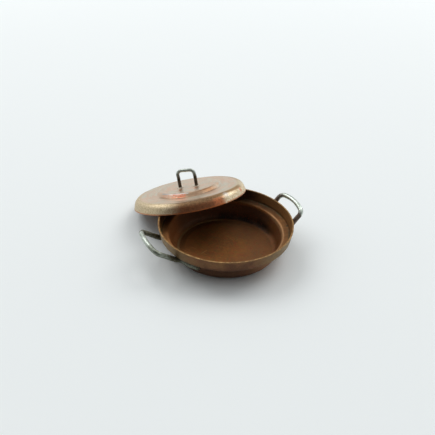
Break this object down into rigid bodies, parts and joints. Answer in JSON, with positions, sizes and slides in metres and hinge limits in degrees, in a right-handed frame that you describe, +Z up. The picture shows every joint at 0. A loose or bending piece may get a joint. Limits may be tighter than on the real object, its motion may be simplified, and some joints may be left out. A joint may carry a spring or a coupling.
{
  "type": "copper pan",
  "caption": "Doll's house copper pan: round body with a ledge and collar, a bent wire handle on each side, and a loose shallow lid with a wire loop that leans on the rim.",
  "frame": {"origin": "middle of the pan's flat base, on the surface that it stands on", "axes": "+Z up, +X through the middle of the right handle and -X through the left one; the lid leans near +Y"},
  "size_m": [0.0378, 0.0432, 0.0127],
  "materials": {
    "pan_copper": "tarnished copper sheet, dark brown inside, worn bright on the rim",
    "lid_copper": "worn copper sheet, pale and satin",
    "handle_wire": "bright wire, darkened by heat near its feet",
    "solder": "dull grey-green soft solder"
  },
  "bodies": {
    "pan": {"pan_body": "pan_copper", "left_handle": "handle_wire", "right_handle": "handle_wire", "left_front_solder": "solder", "left_rear_solder": "solder", "right_front_solder": "solder", "right_rear_solder": "solder"},
    "lid": {"lid_shell": "lid_copper", "lid_loop": "handle_wire", "loop_left_solder": "solder", "loop_right_solder": "solder"}
  },
  "joints": [
    {"name": "lid_lift", "type": "slide", "parent": "pan", "child": "lid", "axis": [0, 0, 1], "range_m": [0, 0.025]}
  ]
}
